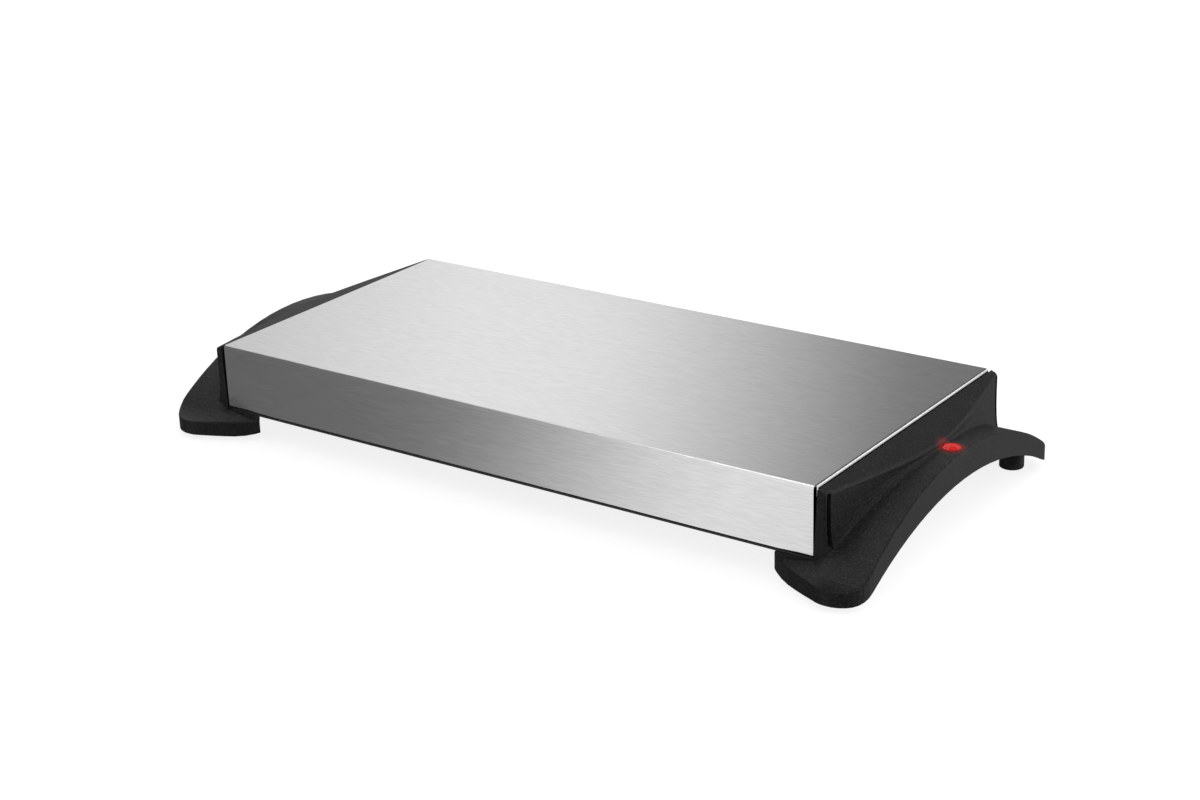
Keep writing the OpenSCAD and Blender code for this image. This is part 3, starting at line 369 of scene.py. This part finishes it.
def fibre():
    """Pressed mineral fibre: short crossed strands."""
    s = new_shader("fibre")
    at = s.place()
    along = s.noise(at, size=0.5, stretch=(8, 1, 1))
    across = s.noise(at, size=0.5, stretch=(1, 8, 1))
    strands = along.at_least(across)
    colour = s.blend(s.ramp(strands, 0.4, 0.75), rgb(0.62, 0.6, 0.52), rgb(0.85, 0.83, 0.77))
    return s.finish(Base_Color=colour, Roughness=0.95, Normal=s.bump(strands, 0.25))


def smooth_plastic(name, dark, pale, rough):
    """A plain moulding with a slight mottle and flow lines."""
    s = new_shader(name)
    at = s.place()
    flow = s.noise(at, size=3, stretch=(3, 1, 1))
    skin = s.noise(at, size=0.4, detail=2.0)
    colour = s.blend(s.ramp(flow, 0.3, 0.7), dark, pale)
    return s.finish(Base_Color=colour, Roughness=rough + skin * 0.1, Normal=s.bump(skin, 0.01))


def sleeve(name, dark, pale):
    """Braided glass sleeving, dyed: a fine crossed weave."""
    s = new_shader(name)
    at = s.place()
    waves = {"Vector": at, "Scale": 1.2, "Distortion": 1.5, "Detail": 1.0}
    weave = s.red_part(s.node("ShaderNodeTexWave", None, waves))
    return s.finish(Base_Color=s.blend(weave, dark, pale), Roughness=0.75, Normal=s.bump(weave, 0.08))


def earth_sleeve():
    """Green sleeving with a yellow stripe."""
    s = new_shader("earth_sleeve")
    at = s.place()
    turns = s.node("ShaderNodeTexWave", {"bands_direction": "DIAGONAL"}, {"Vector": at, "Scale": 0.12})
    stripe = s.ramp(s.red_part(turns), 0.55, 0.65)
    skin = s.noise(at, size=0.5, detail=2.0)
    colour = s.blend(stripe, rgb(0.05, 0.26, 0.05), rgb(0.75, 0.62, 0.04))
    return s.finish(Base_Color=colour, Roughness=0.5 + skin * 0.15, Normal=s.bump(skin, 0.03))


def lamp_glass():
    """Frosted glass of the small lamp."""
    s = new_shader("lamp_glass")
    frost = s.noise(s.place(), size=1.2)
    return s.finish(
        Base_Color=s.blend(frost, rgb(0.78, 0.72, 0.66), rgb(0.92, 0.9, 0.88)),
        Roughness=0.25 + frost * 0.2,
        Coat_Weight=0.4,
        Normal=s.bump(frost, 0.02),
    )


def sheets():
    """Finishes of the flat pieces: level, roughness, share of metal, size of the mottle in mm, and tint."""
    kinds = {
        "pan_paint": (0.03, 0.35, 0.0, 6.0, 0.04),
        "spreader_aluminium": (0.75, 0.3, 1.0, 9.0, 0.01),
        "clamp_steel": (0.52, 0.35, 1.0, 7.0, 0.03),
    }
    return {name: sheet_metal(name, *kind) for name, kind in kinds.items()}


def small_metals():
    """Finishes of the screws, clips, pins and ribbon: dulled colour, bright colour and roughness."""
    kinds = {
        "spring_steel": (grey(0.5, 0.02), grey(0.62, 0.02), 0.18),
        "screw_steel": (grey(0.5), grey(0.66, 0.03), 0.25),
        "ribbon_alloy": (grey(0.3), rgb(0.4, 0.37, 0.36), 0.4),
        "pin_brass": (rgb(0.6, 0.42, 0.18), rgb(0.72, 0.54, 0.27), 0.2),
    }
    return {name: turned_metal(name, *kind) for name, kind in kinds.items()}


def small_mouldings():
    """Finishes of the moulded and glazed pieces inside: dark colour, pale colour and roughness."""
    kinds = {
        "thermostat_case": (grey(0.03), grey(0.045), 0.3),
        "fuse_ceramic": (rgb(0.66, 0.62, 0.52), rgb(0.76, 0.72, 0.62), 0.2),
        "inlet_plastic": (grey(0.02), grey(0.03), 0.28),
        "block_plastic": (rgb(0.72, 0.68, 0.57), rgb(0.8, 0.77, 0.68), 0.4),
    }
    return {name: smooth_plastic(name, *kind) for name, kind in kinds.items()}


def sleeves():
    """Finishes of the leads: dark and pale colour of the braid."""
    kinds = {
        "live_sleeve": (rgb(0.14, 0.06, 0.03), rgb(0.3, 0.15, 0.08)),
        "neutral_sleeve": (rgb(0.02, 0.06, 0.22), rgb(0.06, 0.16, 0.45)),
        "lamp_sleeve": (rgb(0.25, 0.02, 0.02), rgb(0.5, 0.06, 0.05)),
    }
    return {name: sleeve(name, *kind) for name, kind in kinds.items()}


def dress():
    """Gives each piece of the frame its finish, by the record's material slot."""
    finishes = {
        "cover_steel": brushed_cover(),
        "end_plastic": moulded_black("end_plastic", level=0.014, rough=0.32, lit=True),
        "liner_plastic": moulded_black("liner_plastic", level=0.013, rough=0.5),
        "foot_rubber": foot_rubber(),
        "lamp_red": lamp_red(),
        "lamp_glass": lamp_glass(),
        "mica": mica(),
        "blanket_fibre": fibre(),
        "earth_sleeve": earth_sleeve(),
        **sheets(),
        **small_metals(),
        **small_mouldings(),
        **sleeves(),
    }
    for entry in frame["record"]["subparts"]:
        piece = frame["nodes"][entry["node"]]
        piece.data.materials.clear()
        piece.data.materials.append(finishes[entry["material_slot"]])


def show(name, data):
    """Puts new data in the scene as an object."""
    made = bpy.data.objects.new(name, data)
    bpy.context.scene.collection.objects.link(made)
    return made


def make_floor():
    """A pale floor that takes the tray's shadow, and is clear to what the steel mirrors."""
    half = FLOOR_SIZE / 2
    mesh = bpy.data.meshes.new("floor")
    square = [(x * half, y * half, 0.0) for x, y in ((-1, -1), (1, -1), (1, 1), (-1, 1))]
    mesh.from_pydata(square, [], [(0, 1, 2, 3)])
    floor = show("floor", mesh)
    s = new_shader("floor")
    seen = s.node("ShaderNodeLightPath", out="Is Camera Ray")
    mirrored = s.node("ShaderNodeLightPath", out="Is Glossy Ray")
    matt = s.node("ShaderNodeBsdfDiffuse", None, {"Color": grey(FLOOR_GREY)})
    glow = s.node("ShaderNodeEmission", None, {"Color": grey(1.0), "Strength": seen * FLOOR_GLOW})
    shown = s.node("ShaderNodeAddShader", None, {0: matt, 1: glow})
    clear = s.node("ShaderNodeBsdfTransparent", None, {"Color": grey(1.0)})
    surface = s.node("ShaderNodeMixShader", None, {0: mirrored, 1: shown, 2: clear})
    s.node("ShaderNodeOutputMaterial", None, {"Surface": surface})
    mesh.materials.append(s.owner)


def mirrored_level(s, x, y, z):
    """How bright the studio is in what a glossy surface mirrors, by direction."""
    back = s.fade(BACK_DIM, BACK_BRIGHT, s.ramp(x, *BACK_EDGE)) - s.ramp(x, *BACK_FAR_EDGE) * BACK_FAR_LOSS
    back = s.fade(back, BACK_LOW, s.ramp(z, *BACK_LOW_EDGE))
    right = s.fade(RIGHT_HIGH, RIGHT_LOW, s.ramp(z, *RIGHT_LOW_EDGE))
    back = s.fade(back, right, s.ramp(x, *RIGHT_EDGE))
    front = s.fade(FRONT_DIM, FRONT_BRIGHT, s.ramp(x, *FRONT_EDGE))
    side = s.fade(FRONT_SIDE, FRONT_UNDER, s.ramp(z, *FRONT_UNDER_EDGE))
    front = s.fade(front, side, s.ramp(x, *FRONT_SIDE_EDGE))
    level = s.fade(front, back, s.ramp(y, *TURN_EDGE))
    card = s.ramp(x, *CARD_EDGE_X) * s.ramp(y, *CARD_EDGE_Y)
    card = card * s.ramp(z, *CARD_LOW_EDGE) * s.ramp(z, *CARD_TOP_EDGE)
    level = s.fade(level, CARD, card)
    high = s.ramp(x, *HIGH_DARK_EDGE_X) * s.ramp(y, *HIGH_DARK_EDGE_Y) * s.ramp(z, *HIGH_DARK_EDGE_Z)
    level = s.fade(level, HIGH_DARK, high)
    level = s.fade(level, OVERHEAD, s.ramp(z, *OVERHEAD_EDGE))
    patch = s.ramp(x, *PATCH_EDGE_X) * s.ramp(y, *PATCH_EDGE_Y) * s.ramp(z, *PATCH_EDGE_Z)
    return s.fade(level, PATCH, patch)


def even_level(x, y, z):
    """How bright the studio is for everything else."""
    behind = (x * LIGHT_WAY[0] + y * LIGHT_WAY[1]).at_least(0.0)
    return z.at_least(0.0) * LIGHT_ABOVE + behind * LIGHT_BEHIND + EVEN_LIGHT


def make_world():
    """White to the camera, the studio's bright and dim sides in the gloss, and soft light for the rest."""
    world = bpy.data.worlds.new("studio")
    bpy.context.scene.world = world
    s = Shader(world)
    seen = s.node("ShaderNodeLightPath", out="Is Camera Ray")
    mirrored = s.node("ShaderNodeLightPath", out="Is Glossy Ray")
    way = s.node("ShaderNodeTexCoord", out="Generated")
    x, y, z = (s.node("ShaderNodeSeparateXYZ", None, {"Vector": way}, out=axis) for axis in "XYZ")
    strength = seen + mirrored * mirrored_level(s, x, y, z) + (1 - seen - mirrored) * even_level(x, y, z)
    sky = s.node("ShaderNodeBackground", None, {"Color": grey(1.0), "Strength": strength})
    s.node("ShaderNodeOutputWorld", None, {"Surface": sky})


def make_lamp():
    """The one lamp: a rectangular softbox behind at the right, which faces the tray."""
    data = bpy.data.lights.new("back_right_box", "AREA")
    data.shape = "RECTANGLE"
    data.size = BOX_WIDTH
    data.size_y = BOX_HEIGHT
    data.energy = BOX_LEVEL * math.pi * BOX_WIDTH * BOX_HEIGHT
    box = show("back_right_box", data)
    box.location = BOX_PLACE
    box.rotation_mode = "QUATERNION"
    box.rotation_quaternion = (Vector(BOX_TARGET) - Vector(BOX_PLACE)).to_track_quat("-Z", "Y")


def make_camera():
    """A long lens at the front right, a little above the tray."""
    data = bpy.data.cameras.new("camera")
    data.lens = CAMERA_LENS
    data.shift_x, data.shift_y = CAMERA_SHIFT
    data.clip_start = CAMERA_NEAR
    data.clip_end = CAMERA_FAR
    camera = show("camera", data)
    azimuth = math.radians(CAMERA_AZIMUTH)
    elevation = math.radians(CAMERA_ELEVATION)
    flat = math.cos(elevation)
    ahead = Vector((-math.sin(azimuth) * flat, math.cos(azimuth) * flat, -math.sin(elevation)))
    roll = Quaternion((0, 0, 1), math.radians(CAMERA_ROLL))
    camera.location = CAMERA_PLACE
    camera.rotation_mode = "QUATERNION"
    camera.rotation_quaternion = ahead.to_track_quat("-Z", "Y") @ roll
    bpy.context.scene.camera = camera


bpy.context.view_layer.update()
make_camera()
make_floor()
make_world()
make_lamp()
dress()
bpy.context.scene.view_settings.view_transform = "Standard"
